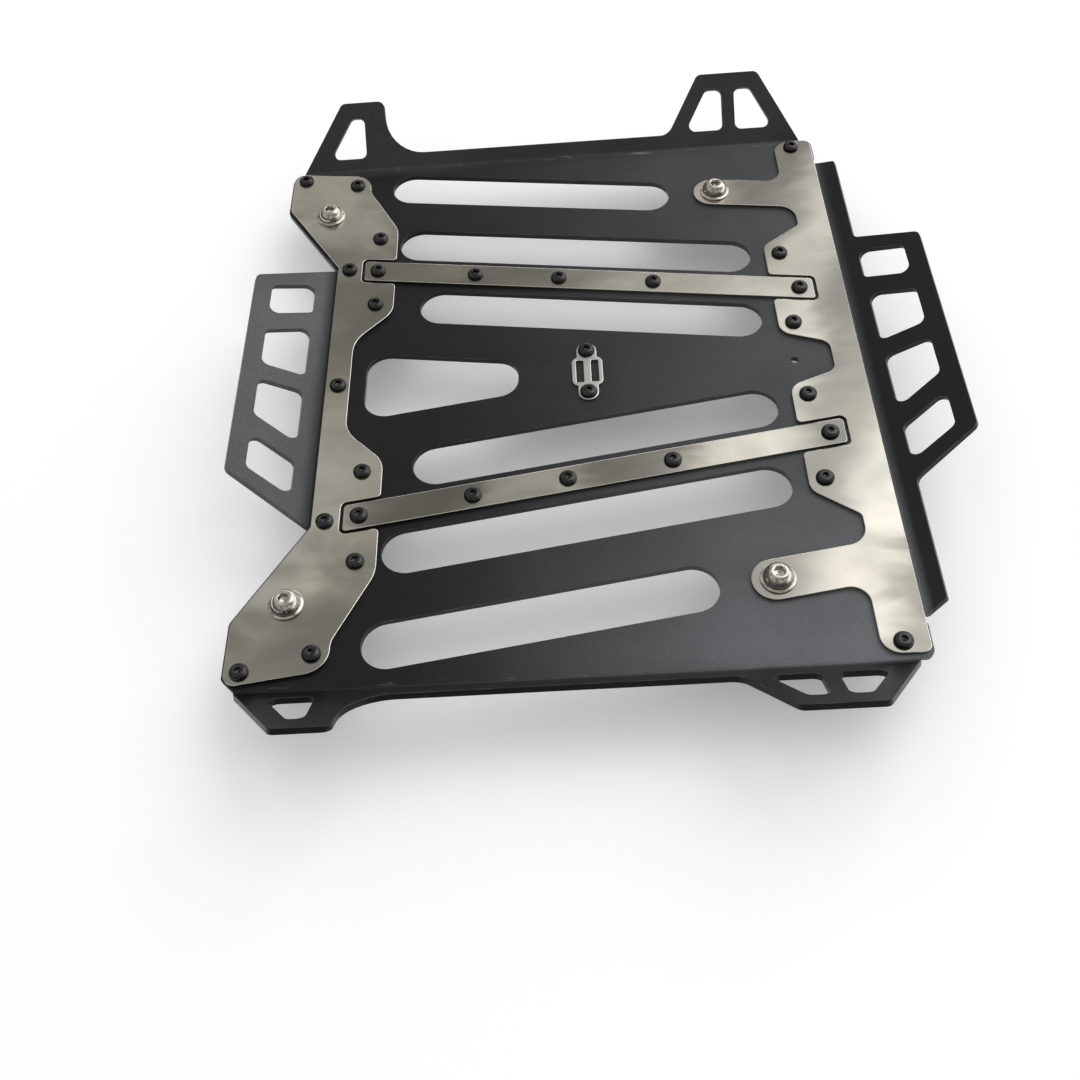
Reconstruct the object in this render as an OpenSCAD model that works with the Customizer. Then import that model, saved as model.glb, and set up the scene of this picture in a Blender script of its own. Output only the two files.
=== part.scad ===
// Motorcycle luggage rack: a folded and pierced sheet deck with raised flanges, dressed with
// polished trims and straps, that stands on four spacers and is bolted to a flat panel.
// X runs rearward, Y to the right-hand side and Z up. The origin is the middle of the four
// mounting bolts, in the plane where the spacers stand on the panel.

/* [Deck] */
// Thickness of the folded sheet
sheet_t = 3; // [2:0.5:4]
// Inside radius of every fold
bend_r = 3; // [1:0.5:5]
// Distance from the middle line to each side fold
side_fold = 191; // [184:1:205]
// Distance from the origin forward to the front corners
front_reach = 148; // [144:1:156]
// Distance from the origin forward to the front fold
front_fold = 114; // [110:1:118]
// Distance from the origin back to the rear fold
rear_fold = 187; // [184:1:200]
// Distance from each corner of the deck to the end of the side fold beside it
corner_cut = 7; // [5:0.5:9]
// Radius of the rear corners of the deck
rear_corner_r = 4; // [2:0.5:4.5]
// Distance from the side fold in to each front corner's inner end
front_corner_inset = 39; // [33:1:45]
// Diameter of the open hole behind the badge plate
cable_hole_d = 4.5; // [3:0.5:6]
// Distance from the rear fold forward to that hole
cable_hole_inset = 38; // [30:1:42]

/* [Slots] */
// Width of the six fanned slots
slot_w = 26.5; // [20:0.5:30]
// Angle of the fan on each side of the middle line
fan_angle = 8.5; // [7:0.5:9.5]
// Distance from the middle line to the inner slots, abreast of the origin
inner_slot_y = 52; // [48:1:56]
// Distance from the side fold in to the outer slots, abreast of the origin
outer_slot_inset = 33; // [31:1:38]
// Distance from the origin forward to the front end of the inner slots
inner_slot_front = 61; // [50:1:66]
// Distance from the origin forward to the front end of the second slots
second_slot_front = 75; // [60:1:76]
// Distance from the origin forward to the front end of the outer slots
outer_slot_front = 82; // [70:1:86]
// Distance from the origin back to the rear end of the inner and second slots
long_slot_rear = 135.5; // [120:0.5:138]
// Distance from the origin back to the rear end of the outer slots
outer_slot_rear = 92; // [80:1:96]
// Distance from the origin forward to the front side of the middle slot
middle_slot_front = 90; // [80:1:93]
// Distance from the origin forward to the round end of the middle slot
middle_slot_rear = 4; // [0:1:20]
// Half width of the middle slot at its front side
middle_slot_half = 25; // [20:0.5:27]
// Radius of the middle slot's front corners
middle_slot_r = 12.5; // [6:0.5:14]

/* [Side flanges] */
// Angle that each side flange is folded up
side_angle = 40; // [20:1:60]
// Width of the strip that joins the two ears of a side flange
side_strip = 9; // [7:0.5:14]
// Length of the front ear from the fold to the tip
front_ear_len = 43; // [38:0.5:52]
// Slant of the front ear's sloping edge
front_ear_slant = 32; // [22:1:35]
// Width of the front ear at its tip
front_ear_tip = 27.5; // [24:0.5:36]
// Radius of the hollow behind the front ear
front_ear_hollow = 24; // [12:1:26]
// Length of the rear ear from the fold to the tip
rear_ear_len = 45.5; // [38:0.5:55]
// Slant of the rear ear's sloping edges
rear_ear_slant = 29; // [20:1:35]
// Width of the rear ear at its tip
rear_ear_tip = 38; // [34:0.5:46]
// Radius of the hollow in front of the rear ear
rear_ear_hollow = 9; // [4:1:14]
// Distance from the fold to the near side of the front ear's window
front_ear_window_near = 7.5; // [7:0.5:12]
// Distance from the fold to the near side of the rear ear's windows
rear_ear_window_near = 10; // [8:0.5:14]
// Width of metal between the ear windows and the tip
ear_window_border = 10; // [7:0.5:12]
// Width of metal in front of the front ear's window, along the fold
front_ear_border = 12; // [10:0.5:14]
// Width of metal behind the front ear's window
front_ear_web = 13.5; // [11:0.5:15]
// Width of metal in front of and behind the rear ear's windows, along the fold
rear_ear_border = 10.5; // [9:0.5:13]
// Width of the bar between the rear ear's two windows
rear_ear_bar = 8; // [6:0.5:11]
// Radius of the ears' outer corners
ear_corner_r = 4.5; // [2:0.5:6]
// Radius of the corners in the ear windows
ear_window_r = 4; // [1.5:0.5:4]

/* [End flanges] */
// Angle that the front and rear flanges are folded up
end_angle = 30; // [15:1:50]
// Half length of each wing where it leaves the deck or the strip
wing_base = 96; // [92:0.5:97]
// Length of the wings from the fold to the tip
wing_len = 46; // [42:0.5:55]
// Slant of the wings' ends
wing_slant = 27.5; // [20:0.5:32]
// Radius of the wings' outer corners
wing_corner_r = 5; // [2:0.5:8]
// Width of the strip along the rear fold
rear_strip = 10.5; // [9:0.5:12]
// Distance from the side fold in to the ends of the strip along the rear fold
rear_strip_inset = 24; // [21:1:31]
// Radius of the bend reliefs at the ends of the rear fold
relief_r = 2.5; // [1.5:0.5:4]
// Distance from the fold to the near side of the wing windows
wing_window_near = 10.5; // [10:0.5:14]
// Width of metal between the wing windows and the tip
wing_window_border = 10; // [7:0.5:12]
// Slant of the wing windows' sloping ends
wing_window_slant = 25; // [15:1:28]
// Width of metal between the two middle windows
wing_middle_web = 11.5; // [8:0.5:16]
// Length of the middle windows beside the fold
middle_window_len = 37.5; // [32:0.5:39]
// Width of the slanting webs
wing_web = 13; // [10:0.5:15]
// Length of the outer windows beside the fold
outer_window_len = 23; // [18:0.5:24]
// Radius of the corners in the wing windows
wing_window_r = 4.5; // [1.5:0.5:5]

/* [Trims] */
// Thickness of the trims and straps
trim_t = 2; // [1:0.5:3]
// Clearance between the trims and the start of each fold
trim_gap = 1.2; // [0.5:0.1:2]
// Distance from the front fold back to the trim's waist at the middle line
front_waist = 15.5; // [13:0.5:17]
// Distance from the screws nearest the slots to the lobes' edge
lobe_margin = 10.7; // [8:0.1:11]
// Depth of the rear trim at the middle line
rear_waist = 17.5; // [13:0.5:20]
// Depth of the rear trim at its lobes
rear_lobe = 43.5; // [42:0.5:45]
// Depth of the rear trim between its lobes and its tongues
rear_bay = 20.5; // [15:0.5:24]
// Width of the rear trim at its outer corners
rear_corner = 25; // [22:0.5:30]
// Half width of the tongues under the rear bolts
tongue_half = 11.6; // [10:0.1:13]
// Distance from the rear bolts to the ends of the tongues
tongue_reach = 12.8; // [11.5:0.1:15]
// Distance from the front edge, and from the front fold, back to the screws beside them
front_screw_back = 9; // [8:0.5:11]
// Distance from the side fold in to the front corner screws
front_screw_inset = 10.5; // [9:0.5:13]
// Distance from the side fold in to the screws behind the front corners
shoulder_screw_inset = 18.5; // [16:0.5:22]
// Distance from the front fold back to the front lobes' screws
front_lobe_back = 26.5; // [25:0.5:29]
// Distance from the rear fold forward to the rear corner screws
rear_screw_front = 14.5; // [12:0.5:17]
// Distance from the side fold in to the rear corner screws
rear_screw_inset = 9; // [8:0.5:12]
// Distance from the rear fold forward to the rear lobes' screws
rear_lobe_front = 35; // [33.5:0.5:36]
// Distance from the slots' lines out to the screws of the lobes that they end at
lobe_screw_shift = 2.2; // [1.5:0.1:3]

/* [Straps] */
// Width of the straps
strap_w = 16; // [12:0.5:18]
// Distance from the end screws to the strap's ends
strap_margin = 8; // [6.5:0.5:9]
// Clearance between a strap's sides and the notches in the trims
notch_side_gap = 2.2; // [0.5:0.1:3]
// Clearance between a strap's ends and the notches in the trims
notch_end_gap = 1.8; // [1:0.1:2.4]
// Distance from the rear fold forward to the straps' last screws
strap_rear_inset = 27.6; // [27:0.1:30]
// Places of the three screws between the ends of each strap
strap_screw_x = [-28.5, 21, 76]; // [-40:0.5:90]

/* [Badge plate] */
// Thickness of the badge plate
badge_t = 1.5; // [1:0.25:2]
// Distance from the origin back to the badge plate's middle
badge_x = 34.5; // [26:0.5:50]
// Width of the badge plate, along the rack
badge_w = 17; // [15:0.5:20]
// Length of the badge plate's frame, across the rack
badge_len = 21; // [18:0.5:24]
// Distance between the badge plate's two screws
badge_screws = 31; // [28:0.5:34]
// Width of metal round the badge plate's two windows
badge_border = 2.2; // [1.5:0.1:2.6]
// Width of the bar between the badge plate's two windows
badge_bar = 4; // [2:0.5:5]

/* [Screws] */
// Diameter of the trim screws
screw_d = 5; // [4:0.5:5]
// Length of the trim screws under the head
screw_len = 10; // [10:0.5:14]
// Diameter of the trim screws' heads
screw_head_d = 9.5; // [8:0.1:10]
// Height of the trim screws' heads
screw_head_h = 2.6; // [2:0.05:3]
// Diameter of the flat on top of the trim screws' heads
screw_top_d = 4.9; // [4:0.1:6]
// Width across the flats of the trim screws' sockets
screw_hex = 3; // [2:0.5:3]
// Clearance round the trim screws in their holes
screw_play = 0.25; // [0.1:0.05:0.4]
// Width across the flats of the trim nuts
nut_hex = 8; // [7:0.5:9]
// Height of the trim nuts
nut_h = 4; // [2.5:0.1:4.5]
// Clearance round a thread in its nut
thread_play = 0.05; // [0.02:0.01:0.1]

/* [Mounting] */
// Distance between the front and rear mounting bolts
bolt_pitch_x = 240; // [236:1:244]
// Distance from the side fold in to the mounting bolts
bolt_inset = 47; // [45:0.5:49]
// Diameter of the mounting bolts
bolt_d = 8; // [6:0.5:8]
// Length of the mounting bolts under the head
bolt_len = 35; // [35:1:45]
// Diameter of the flange under the mounting bolts' heads
bolt_flange_d = 17.8; // [15:0.1:19]
// Thickness of that flange
bolt_flange_t = 1.2; // [0.8:0.1:1.6]
// Diameter of the dome of the mounting bolts' heads
bolt_dome_d = 14; // [12:0.1:14.5]
// Height of the dome above the flange
bolt_dome_h = 5.6; // [4:0.1:6.5]
// Diameter of the flat on top of the dome
bolt_top_d = 8.4; // [7:0.1:10]
// Width across the flats of the mounting bolts' sockets
bolt_hex = 5; // [4:0.5:5.5]
// Clearance round the mounting bolts in their holes
bolt_play = 0.3; // [0.1:0.05:0.5]
// Height of the spacers under the deck
spacer_h = 15; // [12:0.5:20]
// Diameter of the spacers
spacer_d = 24; // [20:0.5:26]
// Rounding chamfer on the spacers' rims
spacer_rim = 1.2; // [0.5:0.1:2]
// Thickness of the panel that the rack is bolted to
panel_t = 3; // [1:0.5:5]
// Diameter of the washers under the panel
washer_d = 24; // [18:0.5:28]
// Thickness of those washers
washer_t = 1.6; // [1:0.1:2.5]
// Width across the flats of the lock nuts
lock_nut_hex = 13; // [12:0.5:14]
// Height of the lock nuts' hexagon
lock_nut_h = 6; // [5:0.1:7]
// Height of the lock nuts' round collar
lock_collar_h = 2; // [1.5:0.1:2.5]

/* [Hidden] */
$fn = 64;
// Largest turn of one straight step along a rounded corner and along a fold
arc_step = 10;
bend_step = 6;
// Depth by which a folded flange laps into the flat of the deck
fold_lap = 4;
// Depth behind the fold where the outlines of the flanges start
outline_drop = 2 * fold_lap;
// Overshoot of every cut past the faces it goes through
over = 1;

powder_black = "#2b2d30";
polished = "#c9c6c0";
bright_steel = "#dcdcdc";
black_oxide = "#1c1d1f";
rubber = "#161616";

deck_top = spacer_h + sheet_t;
trim_top = deck_top + trim_t;
deck_side = side_fold - setback(side_angle);
deck_front = front_fold - setback(end_angle);
deck_rear = rear_fold - setback(end_angle);
side_start = corner_cut - front_reach;
side_end = deck_rear - corner_cut;

// Rows of the fan, as distances from the middle line abreast of the origin
fan = tan(fan_angle);
outer_slot_y = side_fold - outer_slot_inset;
second_slot_y = (inner_slot_y + outer_slot_y) / 2;
strap_y = (inner_slot_y + second_slot_y) / 2;

// Columns of screws, as places along X
front_column = -front_fold + front_screw_back;
inner_column = -front_fold + front_lobe_back;
rear_column = rear_fold - rear_lobe_front;
strap_rear_x = rear_fold - strap_rear_inset;

bolt_x = bolt_pitch_x / 2;
bolt_y = side_fold - bolt_inset;
front_corner_in = side_fold - front_corner_inset;
rear_strip_half = side_fold - rear_strip_inset;
screw_hole_d = screw_d + 2 * screw_play;
bolt_hole_d = bolt_d + 2 * bolt_play;

// Side edges of the strap notches, measured across the fan from a strap's middle
notch_half = strap_w / 2 + notch_side_gap;

// Distance from a fold's apex to the end of the flat beside it, in whole hundredths
function setback(angle) = round(100 * bend_r * tan(angle / 2)) / 100;

// Place of a row of the fan, and of the straps' row, at a place along X
function row_line(row, x) = row - fan * x;
function strap_line(x) = row_line(strap_y, x);

// Screw places on the right-hand side, with the one on the middle line last
front_trim_spots = [
    [-front_reach + front_screw_back, side_fold - front_screw_inset],
    [front_column, side_fold - shoulder_screw_inset],
    [inner_column, row_line(second_slot_y, inner_column) + lobe_screw_shift],
    [front_column, strap_line(front_column)],
    [inner_column, row_line(inner_slot_y, inner_column) - lobe_screw_shift],
    [front_column, 0]
];
rear_trim_spots = [
    [rear_fold - rear_screw_front, side_fold - rear_screw_inset],
    [rear_column, row_line(second_slot_y, rear_column) + lobe_screw_shift],
    [rear_column, row_line(inner_slot_y, rear_column) - lobe_screw_shift]
];
strap_spots = [for (x = concat([inner_column], strap_screw_x, [strap_rear_x])) [x, strap_line(x)]];
badge_spots = [[badge_x, badge_screws / 2]];

// Each spot with its mirror image across the middle line
function both_sides(spots) = [for (p = spots, s = [1, -1]) if (p.y != 0 || s > 0) [p.x, s * p.y]];

function unit(v) = v / norm(v);

// Points of the arc that rounds the corner b between its neighbours a and c
function corner_arc(a, b, c, r, step) =
    r <= 0 ? [b] :
    let(
        back = unit(a - b),
        ahead = unit(c - b),
        half = acos(max(-1, min(1, back * ahead))) / 2,
        centre = b + unit(back + ahead) * r / sin(half),
        from = b + back * r / tan(half) - centre,
        to = b + ahead * r / tan(half) - centre,
        start = atan2(from.y, from.x),
        turn = (atan2(to.y, to.x) - start + 540) % 360 - 180,
        steps = max(2, ceil(abs(turn) / step))
    )
    [for (i = [0:steps]) centre + r * [cos(start + turn * i / steps), sin(start + turn * i / steps)]];

// Outline through corners given as [x, y, radius]
function rounded(corners, step = arc_step) =
    let(n = len(corners), flat = [for (p = corners) [p.x, p.y]])
    [for (i = [0:n - 1])
        each corner_arc(flat[(i + n - 1) % n], flat[i], flat[(i + 1) % n], corners[i][2], step)];

// A half outline closed by its mirror image across the X axis
function mirrored_y(half) =
    concat(half, [for (i = [len(half) - 1:-1:0]) [half[i].x, -half[i].y, half[i][2]]]);

// A half outline closed by its mirror image across the Y axis
function mirrored_x(half) =
    concat(half, [for (i = [len(half) - 1:-1:0]) [-half[i].x, half[i].y, half[i][2]]]);

// Hexagonal prism by its width across the flats
module hex_prism(flats, h) {
    cylinder(d = flats / cos(30), h = h, $fn = 6);
}

// Slot with round ends between two places along X, centred on a line of the fan
module fan_slot(front, rear, row) {
    end_r = slot_w / 2;
    length = (rear - front - slot_w) / cos(fan_angle);
    translate([front + end_r, row - fan * (front + end_r)])
        rotate(-fan_angle) {
            circle(end_r);
            translate([length, 0])
                circle(end_r);
            translate([0, -end_r])
                square([length, slot_w]);
        }
}

// Middle slot, wide and square at the front and tapering to a round end
module middle_slot() {
    end_half = middle_slot_half - fan * (middle_slot_front - middle_slot_rear);
    end_r = end_half * 0.99;
    polygon(rounded(mirrored_y([
        [-middle_slot_rear, end_half, end_r],
        [-middle_slot_front, middle_slot_half, middle_slot_r]
    ])));
}

module deck_slots() {
    for (s = [0, 1])
        mirror([0, s]) {
            fan_slot(-inner_slot_front, long_slot_rear, inner_slot_y);
            fan_slot(-second_slot_front, long_slot_rear, second_slot_y);
            fan_slot(-outer_slot_front, outer_slot_rear, outer_slot_y);
        }
    middle_slot();
}

module round_holes(spots, d) {
    for (p = spots)
        translate(p)
            circle(d = d);
}

module bolt_holes() {
    round_holes(both_sides([[-bolt_x, bolt_y], [bolt_x, bolt_y]]), bolt_hole_d);
}

// Round-ended notch beside the end of the rear fold
module bend_relief() {
    translate([deck_rear - relief_r, rear_strip_half + relief_r]) {
        circle(relief_r);
        translate([0, -relief_r])
            square([relief_r + over, 2 * relief_r]);
    }
}

// Flat part of the sheet, between the starts of the folds
module deck_blank() {
    difference() {
        polygon(rounded(mirrored_y([
            [-deck_front, wing_base, 0],
            [-front_reach, front_corner_in, 6],
            [-front_reach, deck_side - corner_cut, 2],
            [side_start, deck_side, 0],
            [deck_rear, deck_side, rear_corner_r]
        ])));
        deck_slots();
        bolt_holes();
        round_holes(both_sides(front_trim_spots), screw_hole_d);
        round_holes(both_sides(rear_trim_spots), screw_hole_d);
        round_holes(both_sides(strap_spots), screw_hole_d);
        round_holes(both_sides(badge_spots), screw_hole_d);
        round_holes([[rear_fold - cable_hole_inset, 0]], cable_hole_d);
        for (s = [0, 1])
            mirror([0, s])
                bend_relief();
    }
}

// Section of the sheet across a fold, from the fold's apex on the deck's top face
function fold_section(angle, length) =
    let(
        along = [cos(angle), sin(angle)],
        across = [sin(angle), -cos(angle)],
        tip = length * along,
        inner_r = setback(angle) / tan(angle / 2)
    )
    [
        [-fold_lap, 0, 0],
        [0, 0, inner_r],
        [tip.x, tip.y, 0],
        [tip.x + sheet_t * across.x, tip.y + sheet_t * across.y, 0],
        [sheet_t * tan(angle / 2), -sheet_t, inner_r + sheet_t],
        [-fold_lap, -sheet_t, 0]
    ];

// Sheet folded up between two places along the fold, trimmed to an outline that is given
// along the fold and away from it
module folded_flange(from, to, angle, length) {
    intersection() {
        translate([from, 0, 0])
            rotate([90, 0, 90])
                linear_extrude(to - from)
                    polygon(rounded(fold_section(angle, length), bend_step));
        rotate([angle, 0, 0])
            translate([0, 0, -sheet_t - over])
                linear_extrude(sheet_t + over + fold_lap)
                    children();
    }
}

module front_ear_window() {
    near = front_ear_window_near;
    far = front_ear_len - ear_window_border;
    left = side_start + front_ear_border;
    right = side_start + front_ear_len * tan(front_ear_slant) + front_ear_tip - front_ear_web;
    polygon(rounded([
        [left + near * tan(front_ear_slant), near, ear_window_r],
        [right, near, ear_window_r],
        [right, far, ear_window_r],
        [left + far * tan(front_ear_slant), far, ear_window_r]
    ]));
}

// One of the rear ear's two windows, beside the bar on the ear's middle line
module rear_ear_window(half_base) {
    near = rear_ear_window_near;
    far = rear_ear_len - ear_window_border;
    side = half_base - rear_ear_border;
    polygon(rounded([
        [rear_ear_bar / 2, near, ear_window_r],
        [side - near * tan(rear_ear_slant), near, ear_window_r],
        [side - far * tan(rear_ear_slant), far, ear_window_r],
        [rear_ear_bar / 2, far, ear_window_r]
    ]));
}

// Side flange: a narrow strip with a one-window ear in front and a two-window ear behind
module side_flange_blank() {
    front_run = front_ear_len * tan(front_ear_slant);
    front_tip_end = side_start + front_run + front_ear_tip;
    rear_rise = (rear_ear_len - side_strip) * tan(rear_ear_slant);
    half_base = rear_ear_tip / 2 + rear_ear_len * tan(rear_ear_slant);
    rear_middle = side_end - half_base;
    difference() {
        polygon(rounded([
            [side_start - outline_drop * tan(front_ear_slant), -outline_drop, 0],
            [side_start + front_run, front_ear_len, ear_corner_r],
            [front_tip_end, front_ear_len, ear_corner_r],
            [front_tip_end + 1, side_strip, front_ear_hollow],
            [rear_middle - rear_ear_tip / 2 - rear_rise, side_strip, rear_ear_hollow],
            [rear_middle - rear_ear_tip / 2, rear_ear_len, ear_corner_r],
            [rear_middle + rear_ear_tip / 2, rear_ear_len, ear_corner_r],
            [side_end + outline_drop * tan(rear_ear_slant), -outline_drop, 0]
        ]));
        front_ear_window();
        translate([rear_middle, 0])
            for (s = [0, 1])
                mirror([s, 0])
                    rear_ear_window(half_base);
    }
}

// Windows on one half of a wing: a middle one and an outer one with slanting ends
module wing_windows() {
    near = wing_window_near;
    far = wing_len - wing_window_border;
    lean = (far - near) * tan(wing_window_slant);
    inner = wing_middle_web / 2;
    outer = inner + middle_window_len + wing_web;
    polygon(rounded([
        [inner, near, wing_window_r],
        [inner + middle_window_len, near, wing_window_r],
        [inner + middle_window_len - lean, far, wing_window_r],
        [inner, far, wing_window_r]
    ]));
    polygon(rounded([
        [outer, near, wing_window_r],
        [outer + outer_window_len, near, wing_window_r],
        [outer + outer_window_len - lean, far, wing_window_r],
        [outer - lean, far, wing_window_r]
    ]));
}

module all_wing_windows() {
    for (s = [0, 1])
        mirror([s, 0])
            wing_windows();
}

// Half length of a wing at a distance from its fold
function wing_half(away) = wing_base - away * tan(wing_slant);

module front_flange_blank() {
    difference() {
        polygon(rounded(mirrored_x([
            [wing_half(-outline_drop), -outline_drop, 0],
            [wing_half(wing_len), wing_len, wing_corner_r]
        ])));
        all_wing_windows();
    }
}

module rear_flange_blank() {
    difference() {
        polygon(rounded(mirrored_x([
            [rear_strip_half + outline_drop / 2, -outline_drop, 0],
            [rear_strip_half - rear_strip / 2, rear_strip, 2],
            [wing_half(rear_strip), rear_strip, wing_corner_r],
            [wing_half(wing_len), wing_len, wing_corner_r]
        ])));
        all_wing_windows();
    }
}

module deck_plate() {
    color(powder_black) {
        translate([0, 0, spacer_h])
            linear_extrude(sheet_t)
                deck_blank();
        for (s = [0, 1])
            mirror([0, s, 0])
                translate([0, side_fold, deck_top])
                    folded_flange(side_start, side_end, side_angle, max(front_ear_len, rear_ear_len) + over)
                        side_flange_blank();
        rotate([0, 0, 90])
            translate([0, front_fold, deck_top])
                folded_flange(-wing_base, wing_base, end_angle, wing_len + over)
                    front_flange_blank();
        rotate([0, 0, -90])
            translate([0, rear_fold, deck_top])
                folded_flange(-rear_strip_half, rear_strip_half, end_angle, wing_len + over)
                    rear_flange_blank();
    }
}

// Corners of a strap notch cut in from a lobe's edge, from the outer side to the inner side
function notch(lobe_x, end_x) = [
    [lobe_x, strap_line(lobe_x) + notch_half / cos(fan_angle), 2.5],
    [end_x, strap_line(end_x) + notch_half / cos(fan_angle), 3.5],
    [end_x, strap_line(end_x) - notch_half / cos(fan_angle), 3.5],
    [lobe_x, strap_line(lobe_x) - notch_half / cos(fan_angle), 2.5]
];

module front_trim_blank() {
    front = -front_reach + trim_gap;
    fold_edge = -deck_front + trim_gap;
    waist = -front_fold + front_waist;
    lobe = inner_column + lobe_margin;
    shoulder = front_column + 8.7;
    side = deck_side - trim_gap;
    shoulder_out = side_fold - shoulder_screw_inset + 9;
    shoulder_in = side_fold - shoulder_screw_inset - 6.5;
    lobe_out = row_line(second_slot_y, lobe) + 11.5;
    lobe_in = row_line(inner_slot_y, lobe) - 7.5;
    waist_half = inner_slot_y - 18;
    notch_end = inner_column - strap_margin - notch_end_gap;
    difference() {
        polygon(rounded(mirrored_y(concat(
            [
                [fold_edge, wing_base + trim_gap, 3],
                [front, front_corner_in + trim_gap, 9],
                [front, side - 0.5, 6.5],
                [shoulder, shoulder_out, 13],
                [shoulder, shoulder_in, 12],
                [lobe, lobe_out, 20]
            ],
            notch(lobe, notch_end),
            [
                [lobe, lobe_in, 15],
                [waist, waist_half, 20]
            ]
        ))));
        round_holes(both_sides(front_trim_spots), screw_hole_d);
        bolt_holes();
    }
}

module rear_trim_blank() {
    back = deck_rear - trim_gap;
    side = deck_side - trim_gap - 0.5;
    waist = back - rear_waist + 2;
    lobe = rear_fold - rear_lobe;
    bay = rear_fold - rear_bay;
    inner = rear_fold - rear_corner;
    along = [cos(fan_angle), -sin(fan_angle)];
    across = [sin(fan_angle), cos(fan_angle)];
    bolt = [bolt_x, bolt_y];
    side_step = across * tongue_half;
    tip = bolt - along * tongue_reach;
    outer_root = bolt + side_step + along * (inner - bolt_x - side_step.x) / along.x;
    inner_root = bolt - side_step + along * (bay - bolt_x + side_step.x) / along.x;
    end_r = tongue_half * 0.99;
    lobe_out = row_line(second_slot_y, lobe) + 8;
    lobe_in = row_line(inner_slot_y, rear_column) - 9;
    waist_half = lobe_in - 9.5;
    bay_end = (inner_root.y + lobe_out) / 2;
    bay_r = min(11, (inner_root.y - bay_end) * 0.65);
    notch_end = strap_rear_x + strap_margin + notch_end_gap;
    difference() {
        polygon(rounded(mirrored_y(concat(
            [
                [back, side, 4],
                [inner, side, 9.5],
                [outer_root.x, outer_root.y, 9],
                [tip.x + side_step.x, tip.y + side_step.y, end_r],
                [tip.x - side_step.x, tip.y - side_step.y, end_r],
                [inner_root.x, inner_root.y, bay_r],
                [bay, bay_end, 4],
                [lobe, lobe_out, 9]
            ],
            notch(lobe, notch_end),
            [
                [lobe, lobe_in, 9],
                [waist, waist_half, 7]
            ]
        ))));
        round_holes(both_sides(rear_trim_spots), screw_hole_d);
        bolt_holes();
    }
}

module front_trim() {
    color(polished)
        translate([0, 0, deck_top])
            linear_extrude(trim_t)
                front_trim_blank();
}

module rear_trim() {
    color(polished)
        translate([0, 0, deck_top])
            linear_extrude(trim_t)
                rear_trim_blank();
}

// Strap on the right-hand side, along the fan between the two trims, with its ends cut
// square to the rack
module strap() {
    front = inner_column - strap_margin;
    rear = strap_rear_x + strap_margin;
    half = strap_w / 2 / cos(fan_angle);
    color(polished)
        translate([0, 0, deck_top])
            linear_extrude(trim_t)
                difference() {
                    polygon(rounded([
                        [front, strap_line(front) - half, 2],
                        [rear, strap_line(rear) - half, 2],
                        [rear, strap_line(rear) + half, 2],
                        [front, strap_line(front) + half, 2]
                    ]));
                    round_holes(strap_spots, screw_hole_d);
                }
}

module right_strap() {
    strap();
}

module left_strap() {
    mirror([0, 1, 0])
        strap();
}

// Badge plate: a small frame with two plain windows and a round lobe at each screw
module badge_plate() {
    window_x = badge_bar / 2;
    window_w = badge_w / 2 - badge_border - window_x;
    window_half = badge_len / 2 - badge_border;
    lobe_r = screw_head_d / 2 + 0.8;
    color(polished)
        translate([badge_x, 0, deck_top])
            linear_extrude(badge_t)
                difference() {
                    union() {
                        polygon(rounded(mirrored_y([
                            [badge_w / 2, badge_len / 2, 4],
                            [-badge_w / 2, badge_len / 2, 4]
                        ])));
                        square([2 * lobe_r, badge_screws], center = true);
                        for (s = [1, -1])
                            translate([0, s * badge_screws / 2])
                                circle(lobe_r);
                    }
                    for (s = [0, 1])
                        mirror([s, 0])
                            polygon(rounded(mirrored_y([
                                [window_x, window_half, 1],
                                [window_x + window_w, window_half, 1]
                            ])));
                    round_holes([[0, badge_screws / 2], [0, -badge_screws / 2]], screw_hole_d);
                }
}

// Domed head with a flat top and a hexagon socket, standing on the plane z = 0
module domed_head(d, h, top_d, hex) {
    ball_z = (h * h + top_d * top_d / 4 - d * d / 4) / (2 * h);
    ball_r = norm([d / 2, ball_z]);
    difference() {
        rotate_extrude()
            intersection() {
                translate([0, ball_z])
                    circle(ball_r);
                square([d / 2, h]);
            }
        translate([0, 0, h - 0.55 * hex])
            hex_prism(hex, h);
    }
}

// Button-head screw seated on the plane z = 0
module trim_screw() {
    domed_head(screw_head_d, screw_head_h, screw_top_d, screw_hex);
    translate([0, 0, -screw_len])
        cylinder(d = screw_d, h = screw_len);
}

// Hexagon nut with chamfered corners, hanging from the plane z = 0
module hex_nut(flats, h, bore) {
    difference() {
        intersection() {
            translate([0, 0, -h])
                hex_prism(flats, h);
            translate([0, 0, -h])
                cylinder(d1 = flats, d2 = flats + 2 * h, h = h);
            translate([0, 0, -h])
                cylinder(d1 = flats + 2 * h, d2 = flats, h = h);
        }
        translate([0, 0, -h - over])
            cylinder(d = bore, h = h + 2 * over);
    }
}

module screw_set(spots, seat) {
    color(black_oxide)
        for (p = spots)
            translate([p.x, p.y, seat])
                trim_screw();
}

module nut_set(spots) {
    color(bright_steel)
        for (p = spots)
            translate([p.x, p.y, spacer_h])
                hex_nut(nut_hex, nut_h, screw_d + 2 * thread_play);
}

// Flanged button-head bolt seated on the trims
module mounting_bolt(x, y) {
    color(bright_steel)
        translate([x, y, trim_top]) {
            translate([0, 0, bolt_flange_t])
                domed_head(bolt_dome_d, bolt_dome_h, bolt_top_d, bolt_hex);
            cylinder(d = bolt_flange_d, h = bolt_flange_t);
            translate([0, 0, -bolt_len])
                cylinder(d = bolt_d, h = bolt_len);
        }
}

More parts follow.
